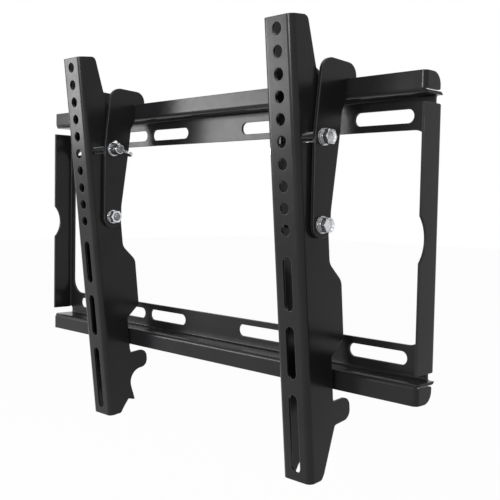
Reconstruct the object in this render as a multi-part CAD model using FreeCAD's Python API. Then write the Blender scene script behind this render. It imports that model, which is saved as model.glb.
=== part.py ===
import FreeCAD, Part
import math
import os

# Tilting wall mount: a folded wall plate with two rails, and two tilting arms that hang on it.
# X runs along the wall, Y points into the wall, Z is up. Origin: wall face, middle of the plate.

# Wall plate
plate_width = 446.0
plate_height = 220.0
plate_sheet = 2.0
plate_bend = 1.5
rail_depth = 21.0
rail_height = 14.5
window_side_strip = 7.0
window_row_strip = 22.0
window_corner = 14.0
wall_slot_edge_margin = 21.0
wall_slot_lengths = (51.0, 42.0, 51.0)
wall_slot_gaps = (16.5, 7.5)
wall_slot_width = 9.6
wall_slot_row_drop = 12.3
flange_relief = 6.0
relief_depth = 5.0
relief_round = 1.5
flange_corner = 4.5
flange_notch_chord = 31.0
flange_notch_depth = 6.2
end_tab_depth = 17.5
end_tab_corner = 8.4
end_tab_heel = 1.5
end_tab_clearance = 0.8

# Arms; depths run back from the front face, distances run down from the top hole
arm_width = 27.0
arm_sheet = 2.0
arm_bend = 2.5
arm_top_margin = 8.3
arm_length = 322.3
arm_hole_dia = 8.2
arm_hole_pitch = 15.0
arm_hole_count = 10
arm_slot_first = 153.2
arm_slot_lengths = (38.0, 37.5)
arm_slot_gap = 11.1
arm_slot_end_margin = 6.0
arm_top_depth = 16.5
arm_top_corner = 4.5
arm_neck_depth = 23.0
arm_neck_below_hole = 26.0
arm_neck_round = 20.0
arm_hip_depth = 38.0
arm_hip_half_height = 10.0
arm_hip_round = 12.0
arm_waist_depth = 29.5
arm_waist_above_pivot = 14.0
arm_waist_round = 30.0
arm_belly_depth = 41.8
arm_belly_below_pivot = 42.5
arm_belly_lead = 14.0
arm_belly_round = 9.0
arm_belly_slope = 10.2
arm_notch_lead = 8.5
arm_notch_round = 2.0
arm_foot_gap = 10.0
arm_foot_depth = 46.0
arm_foot_height = 16.5
arm_foot_round = 7.0
arm_shank_step = 1.0
arm_scoop_depth = 22.5
arm_scoop_round = 12.5
arm_beak_depth = 28.5
arm_beak_drop = 28.5
arm_beak_root = 21.5
arm_beak_slant = 2.5
arm_beak_round = 0.8
arm_heel_depth = 15.0
arm_heel_rise = 4.0
arm_heel_step = 3.0
arm_heel_round = 3.0

# Hinge of each arm
pivot_from_wall = 44.5
pivot_depth = 18.5
pivot_below_hole = 132.5
tilt_bolt_drop = 42.0
tilt_radius = 60.0
tilt_right = 5.4
tilt_left = 6.5
tilt_back = 5.0
tilt_forward = 6.7
tilt_slot_spare = 4.6
right_inset = 81.5
left_inset = 119.5

# Hook plates
hook_sheet = 2.5
hook_front = 8.8
hook_front_round = 25.0
hook_crown = 13.0
hook_crown_fall = 2.0
hook_brow_set_back = 6.3
hook_brow_round = 11.0
hook_reach = 10.2
hook_back_round = 9.0
hook_finger_drop = 8.5
hook_finger_round = 3.5
hook_slot_mouth = 15.0
hook_slot_round = 0.6
hook_mouth_round = 2.0
hook_shoulder_step = 2.2
hook_shoulder_drop = 8.0
hook_shoulder_round = 6.0
hook_waist = 16.7
hook_waist_round = 40.0
hook_shin_round = 20.0
hook_foot = 9.3
hook_foot_round = 8.5
rail_clearance = 0.3

# Fasteners
bolt_dia = 6.0
bolt_hole_dia = 6.4
bolt_tip_proud = 2.0
bolt_tip_chamfer = 0.7
hex_across_flats = 10.0
hex_face_dia = 9.6
hex_chamfer_angle = 30.0
head_height = 4.0
nut_height = 5.0
flat_washer_dia = 12.0
flat_washer_thick = 1.6
lock_washer_dia = 10.6
lock_washer_thick = 1.6
lock_washer_gap = 1.2
lock_washer_slant = 20.0
friction_washer_dia = 15.0
friction_washer_thick = 1.0
wing_span = 22.5
wing_thick = 2.4
wing_rise = 15.5
wing_boss_height = 8.5
wing_boss_dia = 10.5
wing_boss_top_dia = 8.6
wing_root = 3.5
wing_root_drop = 0.8
wing_foot = 1.5
wing_pad = 5.4
wing_pad_round = 2.5
wing_turn_right = 90.0
wing_turn_left = 150.0
pivot_clearance = 0.06
slot_clearance = 0.3
face_clearance = 0.1
thread_clearance = 0.05
foot_clearance = 0.4
cut_margin = 1.0

# Derived positions
shelf_under = plate_height / 2 - rail_height
shelf_top = shelf_under + plate_sheet
flange_end = shelf_under - flange_relief
window_half_width = plate_width / 2 - window_side_strip
window_half_height = shelf_under - window_row_strip
wall_slot_row = shelf_under - wall_slot_row_drop
pivot_y = -pivot_from_wall
tilt_bolt_z = plate_height / 2 - tilt_bolt_drop
pivot_height = tilt_bolt_z - tilt_radius
right_station = plate_width / 2 - right_inset
left_station = left_inset - plate_width / 2
bolt_bore = bolt_hole_dia / 2
stack_plate = arm_width / 2 + face_clearance + friction_washer_thick
stack_washer = stack_plate + hook_sheet
stack_nut = stack_washer + flat_washer_thick
stack_head = stack_nut + lock_washer_thick

X_AXIS = FreeCAD.Vector(1, 0, 0)
Y_AXIS = FreeCAD.Vector(0, 1, 0)
Z_AXIS = FreeCAD.Vector(0, 0, 1)
ORIGIN = FreeCAD.Vector(0, 0, 0)


def on_yz(u, v):
    return FreeCAD.Vector(0, u, v)


def on_xz(u, v):
    return FreeCAD.Vector(u, 0, v)


def on_xy(u, v):
    return FreeCAD.Vector(u, v, 0)


def rounded_face(corners, to_space):
    """Flat face from a closed ring of (u, v, radius) corners."""
    rounds = []
    for i, (u, v, radius) in enumerate(corners):
        here = FreeCAD.Vector(u, v, 0)
        before = corners[i - 1]
        after = corners[(i + 1) % len(corners)]
        back = (FreeCAD.Vector(before[0], before[1], 0) - here).normalize()
        ahead = (FreeCAD.Vector(after[0], after[1], 0) - here).normalize()
        if radius <= 0:
            rounds.append((here, None, here))
            continue
        half = back.getAngle(ahead) / 2
        inward = (back + ahead).normalize()
        reach = radius / math.tan(half)
        crest = here + inward * (radius / math.sin(half) - radius)
        rounds.append((here + back * reach, crest, here + ahead * reach))
    edges = []
    for i, (start, crest, end) in enumerate(rounds):
        follower = rounds[(i + 1) % len(rounds)][0]
        if crest is not None:
            arc_points = [to_space(p.x, p.y) for p in (start, crest, end)]
            edges.append(Part.Arc(*arc_points).toShape())
        if end.distanceToPoint(follower) > 1e-4:
            edges.append(Part.makeLine(to_space(end.x, end.y), to_space(follower.x, follower.y)))
    return Part.Face(Part.Wire(edges))


def extruded(corners, to_space, start, along):
    """Solid from a rounded face, starting at the given offset and running along a vector."""
    face = rounded_face(corners, to_space)
    face.translate(start)
    return face.extrude(along)


def rectangle(u_min, u_max, v_min, v_max, radius):
    return [
        (u_min, v_min, radius),
        (u_max, v_min, radius),
        (u_max, v_max, radius),
        (u_min, v_max, radius),
    ]


def round_bar(radius, x_start, length, y, z):
    return Part.makeCylinder(radius, length, FreeCAD.Vector(x_start, y, z), X_AXIS)


def slot_through_face(x, z, length_x, length_z, back, depth):
    """Round-ended cutter through a face that lies across Y."""
    radius = min(length_x, length_z) / 2
    ring = rectangle(x - length_x / 2, x + length_x / 2, z - length_z / 2, z + length_z / 2, radius)
    return extruded(ring, on_xz, FreeCAD.Vector(0, back, 0), Y_AXIS * depth)


def make_web():
    """Plate, both shelves and both rail faces as one bent strip along X."""
    inner = plate_bend
    outer = plate_bend + plate_sheet
    lip_back = plate_sheet - rail_depth
    half = plate_height / 2
    ring = [
        (lip_back, half, 0),
        (lip_back, shelf_top, inner),
        (0, shelf_top, outer),
        (0, -shelf_top, outer),
        (lip_back, -shelf_top, inner),
        (lip_back, -half, 0),
        (-rail_depth, -half, 0),
        (-rail_depth, -shelf_under, outer),
        (-plate_sheet, -shelf_under, inner),
        (-plate_sheet, shelf_under, inner),
        (-rail_depth, shelf_under, outer),
        (-rail_depth, half, 0),
    ]
    start = FreeCAD.Vector(-plate_width / 2, 0, 0)
    return extruded(ring, on_yz, start, X_AXIS * plate_width)


def edge_angle(fold_y, run_y):
    """Bent corner at the plate's right edge, folded at fold_y and running to run_y."""
    toward = math.copysign(1.0, run_y - fold_y)
    edge = plate_width / 2
    root = edge - plate_sheet - plate_bend
    return [
        (root, fold_y, 0),
        (edge, fold_y, plate_sheet + plate_bend),
        (edge, run_y, 0),
        (edge - plate_sheet, run_y, 0),
        (edge - plate_sheet, fold_y + toward * plate_sheet, plate_bend),
        (root, fold_y + toward * plate_sheet, 0),
    ]


def make_side_flange():
    """Right side flange with the shallow arc in its front edge and rounded corners at the wall."""
    start = FreeCAD.Vector(0, 0, -flange_end)
    flange = extruded(edge_angle(0, -rail_depth), on_xy, start, Z_AXIS * 2 * flange_end)
    outline = [
        (-rail_depth, -flange_end, 0),
        (0, -flange_end, flange_corner),
        (0, flange_end, flange_corner),
        (-rail_depth, flange_end, 0),
    ]
    flange = flange.common(extruded(outline, on_yz, ORIGIN, X_AXIS * plate_width))
    half_chord = flange_notch_chord / 2
    radius = (half_chord ** 2 + flange_notch_depth ** 2) / (2 * flange_notch_depth)
    centre_y = flange_notch_depth - rail_depth - radius
    notch = round_bar(radius, plate_width / 2 - 2 * plate_sheet, 3 * plate_sheet, centre_y, 0)
    return flange.cut(notch)


def make_end_tab():
    """Right end tab of the upper rail, folded back toward the wall."""
    foot = shelf_top + end_tab_clearance
    top = plate_height / 2
    tip = end_tab_depth - rail_depth
    start = FreeCAD.Vector(0, 0, foot)
    tab = extruded(edge_angle(-rail_depth, 0), on_xy, start, Z_AXIS * (top - foot))
    profile = [
        (-rail_depth, foot, 0),
        (tip, foot, end_tab_heel),
        (tip, top, end_tab_corner),
        (-rail_depth, top, 0),
    ]
    return tab.common(extruded(profile, on_yz, ORIGIN, X_AXIS * plate_width))


def mirrored(shape, normal):
    return shape.mirror(ORIGIN, normal)


def make_wall_plate():
    web = make_web()
    fold = plate_sheet + plate_bend
    tab_foot = shelf_top + end_tab_clearance
    lip_top = plate_height / 2 - tab_foot
    edge_cut = Part.makeBox(
        fold, plate_sheet, 2 * flange_end,
        FreeCAD.Vector(plate_width / 2 - fold, -plate_sheet, -flange_end))
    corner_cut = extruded(
        rectangle(
            plate_width / 2 - relief_depth, plate_width / 2 + relief_depth,
            flange_end, shelf_under, relief_round),
        on_xz, FreeCAD.Vector(0, -fold, 0), Y_AXIS * 2 * fold)
    shelf_corner = extruded(
        [
            (plate_width / 2 - fold, -rail_depth, 0),
            (plate_width / 2, -rail_depth, 0),
            (plate_width / 2, fold - rail_depth, 0),
        ],
        on_xy, FreeCAD.Vector(0, 0, shelf_under), Z_AXIS * (tab_foot - shelf_under))
    lip_cut = Part.makeBox(
        fold, plate_sheet, lip_top,
        FreeCAD.Vector(plate_width / 2 - fold, -rail_depth, tab_foot))
    reliefs = corner_cut.fuse([shelf_corner, lip_cut])
    reliefs = reliefs.fuse(mirrored(reliefs, Z_AXIS)).fuse(edge_cut)
    web = web.cut(reliefs.fuse(mirrored(reliefs, X_AXIS)))
    tab = make_end_tab()
    right_side = [make_side_flange(), tab, mirrored(tab, Z_AXIS)]
    left_side = [mirrored(piece, X_AXIS) for piece in right_side]
    body = web.fuse(right_side + left_side)
    window = extruded(
        rectangle(
            -window_half_width, window_half_width,
            -window_half_height, window_half_height, window_corner),
        on_xz, FreeCAD.Vector(0, -2 * plate_sheet, 0), Y_AXIS * 3 * plate_sheet)
    cuts = [window]
    slot_end = plate_width / 2 - wall_slot_edge_margin
    for length, gap in zip(wall_slot_lengths, wall_slot_gaps + (0,)):
        middle = slot_end - length / 2
        for x in (-middle, middle):
            for level in (-wall_slot_row, wall_slot_row):
                cuts.append(slot_through_face(
                    x, level, length, wall_slot_width, -2 * plate_sheet, 3 * plate_sheet))
        slot_end -= length + gap
    return body.cut(cuts).removeSplitter()


def arm_side_profile(has_beak):
    """Outline of one arm flange as (depth, distance below the top hole, radius)."""
    end = arm_length - arm_top_margin
    slot_row = pivot_below_hole - tilt_radius
    rail_drop = pivot_height + plate_height / 2
    rail_edge = pivot_below_hole + rail_drop
    tilt = math.radians(tilt_forward)
    rail_at_tilt = (pivot_from_wall - rail_depth) * math.cos(tilt) - rail_drop * math.sin(tilt)
    notch = pivot_depth + rail_at_tilt - foot_clearance
    notch_top = rail_edge - rail_height - arm_notch_lead
    foot_top = rail_edge + arm_foot_gap
    foot_end = foot_top + arm_foot_height
    belly_top = pivot_below_hole + arm_belly_below_pivot
    beak_end = foot_end + arm_beak_drop
    shank = [(notch + arm_shank_step, foot_end + arm_shank_step, arm_notch_round)]
    beak = [
        (arm_scoop_depth, foot_end, arm_scoop_round),
        (arm_beak_depth, beak_end, arm_beak_round),
        (arm_beak_root, beak_end - arm_beak_slant, arm_beak_round),
    ]
    return [
        (0, -arm_top_margin, 0),
        (arm_top_depth, -arm_top_margin, arm_top_corner),
        (arm_neck_depth, arm_neck_below_hole, arm_neck_round),
        (arm_hip_depth, slot_row - arm_hip_half_height, arm_hip_round),
        (arm_hip_depth, slot_row + arm_hip_half_height, arm_hip_round),
        (arm_waist_depth, pivot_below_hole - arm_waist_above_pivot, arm_waist_round),
        (arm_waist_depth, belly_top - arm_belly_lead, arm_belly_round),
        (arm_belly_depth, belly_top, arm_belly_round),
        (arm_belly_depth, notch_top - arm_belly_slope, arm_notch_round),
        (notch, notch_top, arm_notch_round),
        (notch, foot_top, arm_notch_round),
        (arm_foot_depth, foot_top, arm_foot_round),
        (arm_foot_depth, foot_end, arm_foot_round),
        *(beak if has_beak else shank),
        (arm_heel_depth, end - arm_heel_rise, arm_heel_round),
        (arm_heel_depth - arm_heel_step, end, arm_heel_round),
        (0, end, 0),
    ]


def arm_slot_spans():
    """Start and length of each long slot; the last one runs on to the arm's foot."""
    spans = []
    start = arm_slot_first
    for length in arm_slot_lengths:
        spans.append((start, length))
        start += length + arm_slot_gap
    spans.append((start, arm_length - arm_top_margin - arm_slot_end_margin - start))
    return spans


def tilt_slot_cutter():
    """Arc slot about the hinge axis, as long as the tilt and a little longer at the front."""
    half_width = bolt_dia / 2 + slot_clearance
    inner = tilt_radius - half_width
    outer = tilt_radius + half_width
    length = 2 * arm_width
    front = math.radians(90 + tilt_back + tilt_slot_spare)
    rear = math.radians(90 - tilt_forward)
    middle = (front + rear) / 2

    def at(radius, angle):
        return FreeCAD.Vector(-arm_width, radius * math.cos(angle), radius * math.sin(angle))

    edges = [
        Part.Arc(at(inner, front), at(inner, middle), at(inner, rear)).toShape(),
        Part.makeLine(at(inner, rear), at(outer, rear)),
        Part.Arc(at(outer, rear), at(outer, middle), at(outer, front)).toShape(),
        Part.makeLine(at(outer, front), at(inner, front)),
    ]
    cutter = Part.Face(Part.Wire(edges)).extrude(X_AXIS * length)
    ends = [Part.makeCylinder(half_width, length, at(tilt_radius, angle), X_AXIS) for angle in (front, rear)]
    return cutter.fuse(ends)


def make_arm(side, station, tilt):
    """Folded channel, built upright with the hinge at the origin, then tilted and moved out."""
    half = arm_width / 2
    outer = arm_bend + arm_sheet
    reach = max(arm_belly_depth, arm_foot_depth) + cut_margin
    section = [
        (-half, -pivot_depth, outer),
        (-half, reach - pivot_depth, 0),
        (arm_sheet - half, reach - pivot_depth, 0),
        (arm_sheet - half, arm_sheet - pivot_depth, arm_bend),
        (half - arm_sheet, arm_sheet - pivot_depth, arm_bend),
        (half - arm_sheet, reach - pivot_depth, 0),
        (half, reach - pivot_depth, 0),
        (half, -pivot_depth, outer),
    ]
    foot_z = pivot_below_hole + arm_top_margin - arm_length
    channel = extruded(section, on_xy, FreeCAD.Vector(0, 0, foot_z), Z_AXIS * arm_length)
    halves = []
    for facing in (side, -side):
        outline = [
            (depth - pivot_depth, pivot_below_hole - below, radius)
            for depth, below, radius in arm_side_profile(facing != side)
        ]
        halves.append(extruded(outline, on_yz, ORIGIN, X_AXIS * facing * arm_width))
    arm = channel.common(halves[0].fuse(halves[1]).removeSplitter())
    cuts = []
    drill_y = -pivot_depth - arm_sheet
    for i in range(arm_hole_count):
        z = pivot_below_hole - i * arm_hole_pitch
        start = FreeCAD.Vector(0, drill_y, z)
        cuts.append(Part.makeCylinder(arm_hole_dia / 2, 3 * arm_sheet, start, Y_AXIS))
    for top, length in arm_slot_spans():
        z = pivot_below_hole - top - length / 2
        cuts.append(slot_through_face(0, z, arm_hole_dia, length, drill_y, 3 * arm_sheet))
    cuts.append(round_bar(bolt_dia / 2 + pivot_clearance, -arm_width, 2 * arm_width, 0, 0))
    cuts.append(tilt_slot_cutter())
    arm = arm.cut(cuts).removeSplitter()
    arm.rotate(ORIGIN, X_AXIS, tilt)
    arm.translate(FreeCAD.Vector(station, pivot_y, pivot_height))
    return arm


def make_hook_plate(x_start):
    """Flat plate that hangs over the upper rail and carries both bolts of an arm."""
    front = pivot_y - hook_front
    crown = plate_height / 2 + hook_crown
    seat = plate_height / 2 + rail_clearance
    slot_front = -rail_depth - rail_clearance
    slot_back = plate_sheet - rail_depth + rail_clearance
    finger_back = slot_front + rail_clearance + hook_reach
    finger_end = seat - hook_finger_drop
    mouth = seat - hook_slot_mouth
    foot = pivot_height - hook_foot
    ring = [
        (front, tilt_bolt_z, hook_front_round),
        (front + hook_brow_set_back, crown, hook_brow_round),
        (finger_back, crown - hook_crown_fall, hook_back_round),
        (finger_back, finger_end, hook_finger_round),
        (slot_back, finger_end, hook_mouth_round),
        (slot_back, seat, hook_slot_round),
        (slot_front, seat, hook_slot_round),
        (slot_front, mouth, hook_mouth_round),
        (pivot_y + hook_waist + hook_shoulder_step, mouth - hook_shoulder_drop, hook_shoulder_round),
        (pivot_y + hook_waist, tilt_bolt_z, hook_waist_round),
        (pivot_y + hook_foot, pivot_height + hook_foot, hook_shin_round),
        (pivot_y + hook_foot, foot, hook_foot_round),
        (front, foot, hook_foot_round),
    ]
    plate = extruded(ring, on_yz, FreeCAD.Vector(x_start, 0, 0), X_AXIS * hook_sheet)
    bores = [
        round_bar(bolt_bore, x_start - hook_sheet, 3 * hook_sheet, pivot_y, z)
        for z in (pivot_height, tilt_bolt_z)
    ]
    return plate.cut(bores)


def ring_along_x(outer_dia, bore, thick):
    disc = round_bar(outer_dia / 2, 0, thick, 0, 0)
    return disc.cut(round_bar(bore, -thick, 3 * thick, 0, 0))


def hex_block(height):
    """Hexagon along +X from the origin, its corners turned off at the far end."""
    radius = hex_across_flats / math.sqrt(3)
    points = []
    for i in range(6):
        angle = math.radians(60 * i)
        points.append((radius * math.cos(angle), radius * math.sin(angle), 0))
    block = extruded(points, on_yz, ORIGIN, X_AXIS * height)
    flat_radius = hex_face_dia / 2
    bevel = (radius - flat_radius) * math.tan(math.radians(hex_chamfer_angle))
    turned = Part.makePolygon([
        ORIGIN,
        FreeCAD.Vector(0, radius, 0),
        FreeCAD.Vector(height - bevel, radius, 0),
        FreeCAD.Vector(height, flat_radius, 0),
        FreeCAD.Vector(height, 0, 0),
        ORIGIN,
    ])
    return block.common(Part.Face(turned).revolve(ORIGIN, X_AXIS, 360))


def make_bolt(shank_length):
    """Hex bolt with its head seat at the origin, head toward +X, shank toward -X."""
    tip = bolt_tip_chamfer
    shank = round_bar(bolt_dia / 2, tip - shank_length, shank_length - tip, 0, 0)
    point = Part.makeCone(
        bolt_dia / 2 - tip, bolt_dia / 2, tip, FreeCAD.Vector(-shank_length, 0, 0), X_AXIS)
    return hex_block(head_height).fuse([shank, point]).removeSplitter()


def make_nut():
    """Hex nut from the origin along +X, turned off at both ends."""
    block = hex_block(nut_height)
    flipped = mirrored(block, X_AXIS)
    flipped.translate(X_AXIS * nut_height)
    bore = bolt_dia / 2 + thread_clearance
    return block.common(flipped).cut(round_bar(bore, -cut_margin, nut_height + 2 * cut_margin, 0, 0))


def make_lock_washer():
    """Split spring washer; the split is cut on a slant."""
    ring = ring_along_x(lock_washer_dia, bolt_bore, lock_washer_thick)
    long_side = 2 * lock_washer_dia
    split = Part.makeBox(
        4 * lock_washer_thick, lock_washer_gap, long_side,
        FreeCAD.Vector(-1.5 * lock_washer_thick, -lock_washer_gap / 2, 0))
    split.rotate(FreeCAD.Vector(lock_washer_thick / 2, 0, 0), Z_AXIS, lock_washer_slant)
    return ring.cut(split)


def make_wing_nut(turn):
    """Wing nut with its seat at the origin, opening toward +X."""
    boss = Part.makeCone(
        wing_boss_dia / 2, wing_boss_top_dia / 2, wing_boss_height, ORIGIN, X_AXIS)
    half = wing_span / 2
    ring = [
        (wing_foot, wing_root, 0),
        (wing_foot, wing_boss_dia / 2, wing_foot),
        (wing_rise - wing_pad, half, wing_pad_round),
        (wing_rise, half, wing_pad_round),
        (wing_rise, half - wing_pad, wing_pad_round),
        (wing_boss_height - wing_root_drop, wing_root, 0),
    ]
    wing = extruded(ring, on_xy, FreeCAD.Vector(0, 0, -wing_thick / 2), Z_AXIS * wing_thick)
    nut = boss.fuse([wing, mirrored(wing, Y_AXIS)]).removeSplitter()
    bore = bolt_dia / 2 + thread_clearance
    nut = nut.cut(round_bar(bore, -cut_margin, wing_boss_height + 2 * cut_margin, 0, 0))
    nut.rotate(ORIGIN, X_AXIS, turn)
    return nut


def seated(shape, station, offset, facing, z):
    """Copy of a fastener at an offset from the arm's middle, facing +X or -X."""
    copy = shape.copy() if facing > 0 else mirrored(shape, X_AXIS)
    copy.translate(FreeCAD.Vector(station + facing * offset, pivot_y, z))
    return copy


def make_bracket(side, name, station, wing_turn):
    """Hook plates and fasteners of one arm; bolt heads face outward from the mount."""
    levels = (pivot_height, tilt_bolt_z)
    flat = ring_along_x(flat_washer_dia, bolt_bore, flat_washer_thick)
    friction = ring_along_x(friction_washer_dia, bolt_bore, friction_washer_thick)
    lock = make_lock_washer()
    through = stack_head + stack_nut + bolt_tip_proud
    pivot_bolt = make_bolt(through + nut_height)
    tilt_bolt = make_bolt(through + wing_boss_height)
    friction_seat = stack_plate - friction_washer_thick
    plates = {
        1: make_hook_plate(station + stack_plate),
        -1: make_hook_plate(station - stack_plate - hook_sheet),
    }
    friction_set = []
    flat_set = []
    for facing in (1, -1):
        for z in levels:
            friction_set.append(seated(friction, station, friction_seat, facing, z))
            flat_set.append(seated(flat, station, stack_washer, facing, z))
    lock_set = [seated(lock, station, stack_nut, side, z) for z in levels]
    return {
        name + "_outer_hook_plate": plates[side],
        name + "_inner_hook_plate": plates[-side],
        name + "_friction_washers": Part.makeCompound(friction_set),
        name + "_flat_washers": Part.makeCompound(flat_set),
        name + "_lock_washers": Part.makeCompound(lock_set),
        name + "_pivot_bolt": seated(pivot_bolt, station, stack_head, side, pivot_height),
        name + "_tilt_bolt": seated(tilt_bolt, station, stack_head, side, tilt_bolt_z),
        name + "_pivot_nut": seated(make_nut(), station, stack_nut, -side, pivot_height),
        name + "_wing_nut": seated(make_wing_nut(wing_turn), station, stack_nut, -side, tilt_bolt_z),
    }


nodes = {"wall_plate": make_wall_plate()}
arm_places = (
    (1, "right", right_station, tilt_right, wing_turn_right),
    (-1, "left", left_station, tilt_left, wing_turn_left),
)
for side, name, station, tilt, wing_turn in arm_places:
    nodes[name + "_arm"] = make_arm(side, station, tilt)
    nodes.update(make_bracket(side, name, station, wing_turn))

os.makedirs("parts", exist_ok=True)
for name, shape in nodes.items():
    shape.exportStep("parts/" + name + ".step")
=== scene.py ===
import math

import bmesh
import bpy
from mathutils import Matrix, Vector


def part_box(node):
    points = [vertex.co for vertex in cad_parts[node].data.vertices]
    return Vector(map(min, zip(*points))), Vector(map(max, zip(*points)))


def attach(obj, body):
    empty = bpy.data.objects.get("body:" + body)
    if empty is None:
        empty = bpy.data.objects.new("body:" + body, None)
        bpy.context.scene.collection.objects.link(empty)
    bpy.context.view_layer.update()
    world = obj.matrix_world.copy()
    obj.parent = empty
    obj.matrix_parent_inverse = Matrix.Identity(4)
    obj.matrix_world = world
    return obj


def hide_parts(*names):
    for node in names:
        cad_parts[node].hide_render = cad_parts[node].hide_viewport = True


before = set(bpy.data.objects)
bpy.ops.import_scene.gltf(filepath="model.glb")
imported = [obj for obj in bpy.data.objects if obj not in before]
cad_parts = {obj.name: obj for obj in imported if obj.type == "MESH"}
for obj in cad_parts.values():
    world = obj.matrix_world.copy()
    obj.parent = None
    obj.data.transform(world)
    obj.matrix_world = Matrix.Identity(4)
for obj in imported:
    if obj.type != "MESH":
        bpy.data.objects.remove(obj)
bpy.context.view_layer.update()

# Tilting wall mount: satin black folded steel with bright zinc fasteners.
# Metres, in the frame of the model: X along the wall, Y into the wall, Z up.

MM = 0.001
SIDES = {"right": 1, "left": -1}

# Camera
CAMERA_PLACE = Vector((0.52229, -0.47356, 0.02065))
CAMERA_RIGHT = Vector((0.70288, 0.71106, 0.01871))
CAMERA_FORWARD = Vector((-0.70939, 0.70268, -0.05483))
CAMERA_LENS = 58.956
CAMERA_SENSOR = 36.0
CAMERA_CLIP = 0.01

# Stage
FLOOR_LEVEL = -0.32
FLOOR_SIZE = 12.0
FLOOR_COLOUR = (0.85, 0.85, 0.85, 1.0)
FLOOR_GLOW = 0.97
WHITE = (1.0, 1.0, 1.0, 1.0)
AMBIENT = 0.25

# Lights: place, target, width, height, watts
LIGHTS = {
    "key": ((-0.725, -0.71, 0.165), (0.0, 0.0, 0.05), 0.49, 0.28, 5.0),
    "front": ((0.17, -1.12, 0.23), (0.0, 0.0, 0.05), 0.34, 0.13, 5.5),
    "top": ((0.1, -0.2, 1.3), (0.0, 0.0, 0.0), 1.2, 0.9, 7.0),
}

# Shading shared by the finishes
NOISE_ROUGHNESS = 0.55
NOISE_LOW = 0.3
NOISE_HIGH = 0.7
FLAT_DOT = 0.995
EDGE_DOT = 0.82
BEVEL_SAMPLES = 6

# Black coat; a lighter colour on edges of the given rounding is a painted highlight, where the
# edges catch light
COAT_DARK = (0.0133, 0.0133, 0.0146)
COAT_LIGHT = (0.0195, 0.0195, 0.0208)
PLATE_EDGE_GLINT, PLATE_EDGE = (0.06, 0.06, 0.062), 0.6 * MM
ARM_EDGE_GLINT, ARM_EDGE = (0.07, 0.07, 0.072), 0.8 * MM
HOOK_EDGE_GLINT, HOOK_EDGE = (0.10, 0.10, 0.103), 1.1 * MM
COAT_ROUGHNESS = (0.20, 0.26)
COAT_SPECULAR = 0.19
CLOUD_SCALE = 22.0
PATCH_SCALE = 140.0
PEEL_SCALE = 1500.0
PEEL_STRENGTH = 0.25
PEEL_DEPTH = 0.05 * MM

# Zinc, bright on heads, nuts and washers; the threads get a much darker copy of the zinc, which is
# painted shade
ZINC_DULL, ZINC_BRIGHT = (0.56, 0.57, 0.60), (0.78, 0.79, 0.80)
ZINC_ROUGHNESS = (0.16, 0.34)
THREAD_SHADE_DARK, THREAD_SHADE_LIGHT = (0.16, 0.16, 0.17), (0.26, 0.26, 0.27)
THREAD_ROUGHNESS = (0.38, 0.52)
ZINC_EDGE = 0.2 * MM
MOTTLE_SCALE = 700.0
HAZE_SCALE = 1200.0
MARK_SCALE = 3500.0

# Nylon
NYLON_DARK, NYLON_LIGHT = (0.016, 0.016, 0.017), (0.03, 0.03, 0.032)
NYLON_ROUGHNESS = (0.45, 0.6)
NYLON_EDGE = 0.15 * MM
NYLON_CLOUD_SCALE = 300.0
GRAIN_SCALE = 2500.0

# Fine bump of zinc and nylon
FINE_STRENGTH = 0.2
FINE_DEPTH = 0.04 * MM

# Fasteners
HEAD_HEIGHT = 4.0 * MM
HEX_FACE_SHARE = 0.96
HEX_CHAMFER = math.tan(math.radians(30.0))
SEAT_RING = 0.25 * MM
HEAD_DISH = 1.4 * MM
HEAD_RIM_SHARE = 0.88
HEAD_DISH_SHARE = 0.72
BOLT_RADIUS = 2.98 * MM
THREAD_PITCH = 1.0 * MM
THREAD_DEPTH = 0.55 * MM
THREAD_START = 6.0 * MM
THREAD_RUN_OUT = 2.0 * MM
GROOVE_SLOPE = 1.3
GROOVE_CREST = 0.15
BOLT_CHAMFER = 0.8 * MM
NUT_BORE = 3.05 * MM
NUT_SINK = 0.5 * MM
WASHER_BORE = 3.2 * MM
WASHER_ROUND = 0.2 * MM
WASHER_CORNER_STEPS = 3
FLAT_WASHER = (1.6 * MM, 6.0 * MM)          # thickness, outer radius
LOCK_WASHER = (1.6 * MM, 5.3 * MM)
FRICTION_WASHER = (1.0 * MM, 7.5 * MM)
SPLIT_HALF_GAP = math.radians(7.0)
SPLIT_SLANT = math.radians(9.0)
ROUND_STEPS = 48
THREAD_STEPS = 24
ROWS_PER_PITCH = 6
CAST_WELD = 0.001 * MM
CAST_VOXEL = 0.25 * MM
CAST_SMOOTHING = 8
CAST_SMOOTH_FACTOR = 0.5
SHARP_ANGLE = math.radians(28.0)


# Shader helpers

def new_material(name):
    material = bpy.data.materials.new(name)
    material.use_nodes = True
    nodes = material.node_tree.nodes
    shader = nodes["Principled BSDF"]
    return material, nodes, material.node_tree.links, shader


def noise(nodes, links, coords, scale, detail):
    node = nodes.new("ShaderNodeTexNoise")
    node.inputs["Scale"].default_value = scale
    node.inputs["Detail"].default_value = detail
    node.inputs["Roughness"].default_value = NOISE_ROUGHNESS
    links.new(coords, node.inputs["Vector"])
    return node.outputs["Fac"]


def spread(nodes, links, value, low, high):
    """The middle of a noise spread over a range."""
    node = nodes.new("ShaderNodeMapRange")
    node.inputs["From Min"].default_value = NOISE_LOW
    node.inputs["From Max"].default_value = NOISE_HIGH
    node.inputs["To Min"].default_value = low
    node.inputs["To Max"].default_value = high
    links.new(value, node.inputs["Value"])
    return node.outputs["Result"]


def ramp(nodes, links, value, low, high):
    """Colour that follows the middle of a noise."""
    node = nodes.new("ShaderNodeValToRGB")
    stops = ((NOISE_LOW, low), (NOISE_HIGH, high))
    for element, (place, colour) in zip(node.color_ramp.elements, stops):
        element.position = place
        element.color = (*colour, 1.0)
    links.new(value, node.inputs["Fac"])
    return node.outputs["Color"]


def mixed_colour(nodes, links, share, under, over):
    node = nodes.new("ShaderNodeMix")
    node.data_type = "RGBA"
    links.new(share, node.inputs["Factor"])
    links.new(under, node.inputs["A"])
    node.inputs["B"].default_value = (*over, 1.0)
    return node.outputs["Result"]


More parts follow.
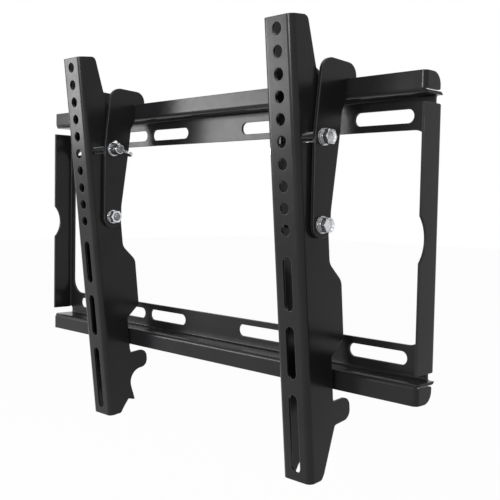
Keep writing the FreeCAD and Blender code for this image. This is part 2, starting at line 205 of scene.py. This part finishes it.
def edge_share(nodes, links, rounded):
    """How far a rounded normal turns away from the face: 0 on the flat, 1 on an edge."""
    geometry = nodes.new("ShaderNodeNewGeometry")
    dot = nodes.new("ShaderNodeVectorMath")
    dot.operation = "DOT_PRODUCT"
    links.new(rounded, dot.inputs[0])
    links.new(geometry.outputs["Normal"], dot.inputs[1])
    turn = nodes.new("ShaderNodeMapRange")
    turn.inputs["From Min"].default_value = FLAT_DOT
    turn.inputs["From Max"].default_value = EDGE_DOT
    links.new(dot.outputs["Value"], turn.inputs["Value"])
    return turn.outputs["Result"]


def rounded_edges(nodes, radius):
    node = nodes.new("ShaderNodeBevel")
    node.samples = BEVEL_SAMPLES
    node.inputs["Radius"].default_value = radius
    return node.outputs["Normal"]


def bumped(nodes, links, height, normal, strength, distance):
    node = nodes.new("ShaderNodeBump")
    node.inputs["Strength"].default_value = strength
    node.inputs["Distance"].default_value = distance
    links.new(height, node.inputs["Height"])
    links.new(normal, node.inputs["Normal"])
    return node.outputs["Normal"]


def powder_coat(name, glint_colour, edge_round):
    """Satin black powder coat: fine orange peel, faint clouds, edges lighter as a painted
    highlight.
    """
    material, nodes, links, shader = new_material(name)
    coords = nodes.new("ShaderNodeTexCoord").outputs["Object"]
    rounded = rounded_edges(nodes, edge_round)
    clouds = noise(nodes, links, coords, CLOUD_SCALE, 4.0)
    colour = ramp(nodes, links, clouds, COAT_DARK, COAT_LIGHT)
    # Lighter colour mixed onto rounded edges: a painted highlight, the glint of the edges
    edges = edge_share(nodes, links, rounded)
    links.new(mixed_colour(nodes, links, edges, colour, glint_colour), shader.inputs["Base Color"])
    patches = noise(nodes, links, coords, PATCH_SCALE, 3.0)
    links.new(spread(nodes, links, patches, *COAT_ROUGHNESS), shader.inputs["Roughness"])
    peel = noise(nodes, links, coords, PEEL_SCALE, 2.0)
    skin = bumped(nodes, links, peel, rounded, PEEL_STRENGTH, PEEL_DEPTH)
    links.new(skin, shader.inputs["Normal"])
    shader.inputs["Specular IOR Level"].default_value = COAT_SPECULAR
    return material


def zinc_plate(name, dull, bright, roughness):
    """Zinc on steel, as the bright copy or as the darker copy that paints shade on threads:
    slightly mottled, with fine tool marks.
    """
    material, nodes, links, shader = new_material(name)
    coords = nodes.new("ShaderNodeTexCoord").outputs["Object"]
    rounded = rounded_edges(nodes, ZINC_EDGE)
    mottle = noise(nodes, links, coords, MOTTLE_SCALE, 4.0)
    links.new(ramp(nodes, links, mottle, dull, bright), shader.inputs["Base Color"])
    haze = noise(nodes, links, coords, HAZE_SCALE, 3.0)
    links.new(spread(nodes, links, haze, *roughness), shader.inputs["Roughness"])
    marks = noise(nodes, links, coords, MARK_SCALE, 2.0)
    skin = bumped(nodes, links, marks, rounded, FINE_STRENGTH, FINE_DEPTH)
    links.new(skin, shader.inputs["Normal"])
    shader.inputs["Metallic"].default_value = 1.0
    return material


def moulded_nylon(name):
    material, nodes, links, shader = new_material(name)
    coords = nodes.new("ShaderNodeTexCoord").outputs["Object"]
    clouds = noise(nodes, links, coords, NYLON_CLOUD_SCALE, 3.0)
    colour = ramp(nodes, links, clouds, NYLON_DARK, NYLON_LIGHT)
    links.new(colour, shader.inputs["Base Color"])
    grain = noise(nodes, links, coords, GRAIN_SCALE, 2.0)
    links.new(spread(nodes, links, grain, *NYLON_ROUGHNESS), shader.inputs["Roughness"])
    rounded = rounded_edges(nodes, NYLON_EDGE)
    skin = bumped(nodes, links, grain, rounded, FINE_STRENGTH, FINE_DEPTH)
    links.new(skin, shader.inputs["Normal"])
    return material


# Mesh helpers

def loft(bm, rings, wrap=False):
    """Quads between successive rings of points; with wrap the last ring meets the first."""
    rows = [[bm.verts.new(point) for point in ring] for ring in rings]
    pairs = list(zip(rows, rows[1:]))
    if wrap:
        pairs.append((rows[-1], rows[0]))
    for lower, upper in pairs:
        for i in range(len(lower)):
            j = (i + 1) % len(lower)
            bm.faces.new((lower[i], lower[j], upper[j], upper[i]))
    return rows


def cap(bm, row):
    """Closes a ring with a fan to its middle."""
    middle = bm.verts.new(sum((v.co for v in row), Vector()) / len(row))
    for i in range(len(row)):
        bm.faces.new((row[i], row[(i + 1) % len(row)], middle))


def ring_at(x, radius, steps=ROUND_STEPS):
    """Circle across X; its place and its radius may each be a number or a function of the angle."""
    points = []
    for i in range(steps):
        angle = 2 * math.pi * i / steps
        r = radius(angle) if callable(radius) else radius
        along = x(angle) if callable(x) else x
        points.append(Vector((along, r * math.cos(angle), r * math.sin(angle))))
    return points


def hexagon(across_flats):
    """Distance from the axis to the hexagon's side at an angle, corners on the Y axis."""
    def radius(angle):
        sixth = math.pi / 3
        return across_flats / 2 / math.cos((angle % sixth) - sixth / 2)
    return radius


def finish_piece(bm, name, materials, body, node, centre, facing):
    """Seats a mesh that was built along +X and lets it stand for a CAD node."""
    if facing < 0:
        bmesh.ops.scale(bm, vec=(-1, 1, 1), verts=bm.verts)
    bmesh.ops.translate(bm, vec=centre, verts=bm.verts)
    bmesh.ops.recalc_face_normals(bm, faces=bm.faces)
    for face in bm.faces:
        face.smooth = True
    for edge in bm.edges:
        edge.smooth = edge.calc_face_angle(0.0) < SHARP_ANGLE
    mesh = bpy.data.meshes.new(name)
    bm.to_mesh(mesh)
    bm.free()
    place_piece(mesh, name, materials, body, node)


def place_piece(mesh, name, materials, body, node):
    """Rides a mesh on a body in place of a CAD node."""
    piece = bpy.data.objects.new(name, mesh)
    for material in materials:
        mesh.materials.append(material)
    bpy.context.scene.collection.objects.link(piece)
    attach(piece, body)
    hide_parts(node)


# Fasteners, each built along +X from its seat

def thread_radius(x, angle, length):
    """Radius of a bolt's shank at a depth x below its head, with thread, run-out and tip."""
    run = min(max((x - THREAD_START) / THREAD_RUN_OUT, 0.0), 1.0)
    phase = (x / THREAD_PITCH + angle / (2 * math.pi)) % 1.0
    groove = min(max(GROOVE_SLOPE * abs(2 * phase - 1) - GROOVE_CREST, 0.0), 1.0)
    tip = max(x - (length - BOLT_CHAMFER), 0.0)
    return min(BOLT_RADIUS - run * groove * THREAD_DEPTH, BOLT_RADIUS - tip)


def build_bolt(bm, length, across_flats):
    """Hex bolt: seat at the origin, head toward +X, shank toward -X in the second finish."""
    side = hexagon(across_flats)
    face = HEX_FACE_SHARE * across_flats / 2
    head = [
        ring_at(0.0, BOLT_RADIUS),
        ring_at(0.0, face),
        ring_at(SEAT_RING, face),
        ring_at(SEAT_RING, side),
        ring_at(lambda a: HEAD_HEIGHT - (side(a) - face) * HEX_CHAMFER, side),
        ring_at(HEAD_HEIGHT, face),
        ring_at(HEAD_HEIGHT, HEAD_RIM_SHARE * face),
        ring_at(HEAD_HEIGHT - HEAD_DISH, HEAD_DISH_SHARE * face),
    ]
    rows = loft(bm, head)
    cap(bm, rows[-1])
    head_faces = set(bm.faces)
    count = int(length / THREAD_PITCH * ROWS_PER_PITCH)
    shank = []
    for i in range(count + 1):
        depth = length * i / count
        ring = ring_at(-depth, lambda a, d=depth: thread_radius(d, a, length), THREAD_STEPS)
        shank.append(ring)
    cap(bm, loft(bm, shank)[-1])
    for polygon in bm.faces:
        polygon.material_index = 0 if polygon in head_faces else 1


def build_nut(bm, height, across_flats):
    side = hexagon(across_flats)
    face = HEX_FACE_SHARE * across_flats / 2

    def fall(angle):
        return (side(angle) - face) * HEX_CHAMFER

    loft(bm, [
        ring_at(fall, side),
        ring_at(lambda a: height - fall(a), side),
        ring_at(height, face),
        ring_at(height, NUT_BORE + NUT_SINK),
        ring_at(height - NUT_SINK, NUT_BORE),
        ring_at(NUT_SINK, NUT_BORE),
        ring_at(0.0, NUT_BORE + NUT_SINK),
        ring_at(0.0, face),
    ], wrap=True)


def washer_profile(thick, outer):
    """Closed (x, radius) profile of a flat ring with rounded corners."""
    corners = (
        (0.0, WASHER_BORE, 1, 1),
        (0.0, outer, 1, -1),
        (thick, outer, -1, -1),
        (thick, WASHER_BORE, -1, 1),
    )
    points = []
    for k, (x, r, inward_x, inward_r) in enumerate(corners):
        for step in range(WASHER_CORNER_STEPS + 1):
            turn = math.pi / 2 * step / WASHER_CORNER_STEPS
            first, second = math.sin(turn), math.cos(turn)
            if k % 2:
                first, second = second, first
            points.append((
                x + inward_x * WASHER_ROUND * (1 - second),
                r + inward_r * WASHER_ROUND * (1 - first),
            ))
    return points


def build_flat_washer(bm, x, centre, thick, outer):
    rings = []
    for along, radius in washer_profile(thick, outer):
        ring = [point + centre for point in ring_at(x + along, radius)]
        rings.append(ring)
    loft(bm, rings, wrap=True)


def build_lock_washer(bm, x, centre, thick, outer):
    """Split spring ring: a rounded section swept round, its ends cut on a slant."""
    profile = washer_profile(thick, outer)
    sweep = 2 * math.pi - 2 * SPLIT_HALF_GAP
    sections = []
    for i in range(ROUND_STEPS + 1):
        section = []
        for along, radius in profile:
            slant = SPLIT_SLANT * (along / thick - 0.5)
            angle = math.pi / 2 + SPLIT_HALF_GAP + slant + sweep * i / ROUND_STEPS
            across = (radius * math.cos(angle), radius * math.sin(angle))
            section.append(centre + Vector((x + along, *across)))
        sections.append(section)
    rows = loft(bm, sections)
    bm.faces.new(rows[0])
    bm.faces.new(rows[-1])


def cast_copy(node, name):
    """Rounded casting from a node's own shape: remeshed finely, then smoothed."""
    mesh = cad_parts[node].data.copy()
    bm = bmesh.new()
    bm.from_mesh(mesh)
    bmesh.ops.remove_doubles(bm, verts=bm.verts, dist=CAST_WELD)
    bm.to_mesh(mesh)
    bm.free()
    rough = bpy.data.objects.new(name + "_rough", mesh)
    bpy.context.scene.collection.objects.link(rough)
    remesh = rough.modifiers.new("remesh", "REMESH")
    remesh.mode = "VOXEL"
    remesh.voxel_size = CAST_VOXEL
    smooth = rough.modifiers.new("smooth", "SMOOTH")
    smooth.factor = CAST_SMOOTH_FACTOR
    smooth.iterations = CAST_SMOOTHING
    graph = bpy.context.evaluated_depsgraph_get()
    cast = bpy.data.meshes.new_from_object(rough.evaluated_get(graph))
    bpy.data.objects.remove(rough)
    cast.materials.clear()
    for polygon in cast.polygons:
        polygon.use_smooth = True
    return cast


def axis_of(node):
    """Middle of a node across X, as a point with X zero."""
    low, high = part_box(node)
    return Vector((0.0, (low.y + high.y) / 2, (low.z + high.z) / 2))


def dress_bolt(side, facing, kind, zinc, shaded_thread):
    node = f"{side}_{kind}_bolt"
    low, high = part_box(node)
    head_top = high.x if facing > 0 else low.x
    seat = axis_of(node) + Vector((head_top - facing * HEAD_HEIGHT, 0, 0))
    bm = bmesh.new()
    build_bolt(bm, high.x - low.x - HEAD_HEIGHT, high.z - low.z)
    finish_piece(
        bm, node + "_threaded", (zinc, shaded_thread), f"{side}_bracket", node, seat, facing
    )


def dress_nut(side, facing, zinc):
    node = f"{side}_pivot_nut"
    low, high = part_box(node)
    seat = axis_of(node) + Vector((high.x if facing > 0 else low.x, 0, 0))
    bm = bmesh.new()
    build_nut(bm, high.x - low.x, high.z - low.z)
    finish_piece(
        bm, node + "_chamfered", (zinc,), f"{side}_bracket", node, seat, -facing
    )


def dress_washers(side, kind, material, builder, ring_size, both_sides):
    """All washers of one kind on an arm's two bolts, as one piece."""
    thick, outer = ring_size
    node = f"{side}_{kind}_washers"
    low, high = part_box(node)
    starts = (low.x, high.x - thick) if both_sides else (low.x,)
    bm = bmesh.new()
    for bolt in ("pivot", "tilt"):
        centre = axis_of(f"{side}_{bolt}_bolt")
        for start in starts:
            builder(bm, start, centre, thick, outer)
    finish_piece(bm, node + "_set", (material,), f"{side}_bracket", node, Vector(), 1)


def dress_side(side, facing, zinc, shaded_thread, nylon):
    for kind in ("pivot", "tilt"):
        dress_bolt(side, facing, kind, zinc, shaded_thread)
    dress_nut(side, facing, zinc)
    dress_washers(side, "flat", zinc, build_flat_washer, FLAT_WASHER, True)
    dress_washers(side, "lock", zinc, build_lock_washer, LOCK_WASHER, False)
    dress_washers(side, "friction", nylon, build_flat_washer, FRICTION_WASHER, True)
    node = f"{side}_wing_nut"
    cast = cast_copy(node, node + "_cast")
    place_piece(cast, node + "_cast", (zinc,), node, node)


# Stage

def shown_rays(nodes, links):
    """1 for camera, glossy and transmission rays, so that they all see the white background."""
    path = nodes.new("ShaderNodeLightPath")
    total = path.outputs["Is Camera Ray"]
    for kind in ("Is Glossy Ray", "Is Transmission Ray"):
        adding = nodes.new("ShaderNodeMath")
        adding.operation = "ADD"
        adding.use_clamp = True
        links.new(total, adding.inputs[0])
        links.new(path.outputs[kind], adding.inputs[1])
        total = adding.outputs["Value"]
    return total


def make_world():
    world = bpy.data.worlds.new("studio")
    bpy.context.scene.world = world
    world.use_nodes = True
    nodes, links = world.node_tree.nodes, world.node_tree.links
    nodes.clear()
    ambient = nodes.new("ShaderNodeBackground")
    ambient.inputs["Color"].default_value = WHITE
    ambient.inputs["Strength"].default_value = AMBIENT
    white = nodes.new("ShaderNodeBackground")
    white.inputs["Color"].default_value = WHITE
    white.inputs["Strength"].default_value = 1.0
    mix = nodes.new("ShaderNodeMixShader")
    links.new(shown_rays(nodes, links), mix.inputs["Fac"])
    links.new(ambient.outputs["Background"], mix.inputs[1])
    links.new(white.outputs["Background"], mix.inputs[2])
    output = nodes.new("ShaderNodeOutputWorld")
    links.new(mix.outputs["Shader"], output.inputs["Surface"])


def make_floor():
    material = bpy.data.materials.new("pale_floor")
    material.use_nodes = True
    nodes, links = material.node_tree.nodes, material.node_tree.links
    nodes.clear()
    paper = nodes.new("ShaderNodeBsdfDiffuse")
    paper.inputs["Color"].default_value = FLOOR_COLOUR
    glow = nodes.new("ShaderNodeEmission")
    glow.inputs["Strength"].default_value = 1.0
    share = nodes.new("ShaderNodeMath")
    share.operation = "MULTIPLY"
    links.new(shown_rays(nodes, links), share.inputs[0])
    share.inputs[1].default_value = FLOOR_GLOW
    mix = nodes.new("ShaderNodeMixShader")
    links.new(share.outputs["Value"], mix.inputs["Fac"])
    links.new(paper.outputs["BSDF"], mix.inputs[1])
    links.new(glow.outputs["Emission"], mix.inputs[2])
    output = nodes.new("ShaderNodeOutputMaterial")
    links.new(mix.outputs["Shader"], output.inputs["Surface"])
    half = FLOOR_SIZE / 2
    mesh = bpy.data.meshes.new("floor")
    outline = ((-half, -half), (half, -half), (half, half), (-half, half))
    corners = [(x, y, FLOOR_LEVEL) for x, y in outline]
    mesh.from_pydata(corners, [], [(0, 1, 2, 3)])
    mesh.materials.append(material)
    floor = bpy.data.objects.new("floor", mesh)
    bpy.context.scene.collection.objects.link(floor)


def area_light(name, place, target, width, height, watts):
    data = bpy.data.lights.new(name, "AREA")
    data.shape = "RECTANGLE"
    data.size = width
    data.size_y = height
    data.energy = watts
    lamp = bpy.data.objects.new(name, data)
    lamp.location = place
    aim = Vector(target) - Vector(place)
    lamp.rotation_euler = aim.to_track_quat("-Z", "Y").to_euler()
    bpy.context.scene.collection.objects.link(lamp)


def make_camera():
    data = bpy.data.cameras.new("camera")
    data.sensor_fit = "HORIZONTAL"
    data.sensor_width = CAMERA_SENSOR
    data.lens = CAMERA_LENS
    data.clip_start = CAMERA_CLIP
    camera = bpy.data.objects.new("camera", data)
    up = CAMERA_RIGHT.cross(CAMERA_FORWARD)
    axes = Matrix((CAMERA_RIGHT, up, -CAMERA_FORWARD)).transposed()
    camera.matrix_world = Matrix.Translation(CAMERA_PLACE) @ axes.to_4x4()
    bpy.context.scene.collection.objects.link(camera)
    bpy.context.scene.camera = camera


def dress_nodes(coats, zinc, nylon):
    """Finish of every CAD node, by its place on the mount."""
    for name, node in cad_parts.items():
        if name == "wall_plate":
            finish = coats["plate"]
        elif name.endswith("_arm"):
            finish = coats["arm"]
        elif name.endswith("_hook_plate"):
            finish = coats["hook"]
        elif name.endswith("_friction_washers"):
            finish = nylon
        else:
            finish = zinc
        node.data.materials.clear()
        node.data.materials.append(finish)


make_camera()
make_world()
make_floor()
for light, settings in LIGHTS.items():
    area_light(light, *settings)
coats = {
    "plate": powder_coat("plate_coat", PLATE_EDGE_GLINT, PLATE_EDGE),
    "arm": powder_coat("arm_coat", ARM_EDGE_GLINT, ARM_EDGE),
    "hook": powder_coat("hook_coat", HOOK_EDGE_GLINT, HOOK_EDGE),
}
zinc = zinc_plate("zinc", ZINC_DULL, ZINC_BRIGHT, ZINC_ROUGHNESS)
# The threads get a darker copy of the zinc: painted shade
shaded_thread = zinc_plate("shaded_thread", THREAD_SHADE_DARK, THREAD_SHADE_LIGHT, THREAD_ROUGHNESS)
nylon = moulded_nylon("nylon")
dress_nodes(coats, zinc, nylon)
for side, facing in SIDES.items():
    dress_side(side, facing, zinc, shaded_thread, nylon)

bpy.context.scene.view_settings.view_transform = "Standard"
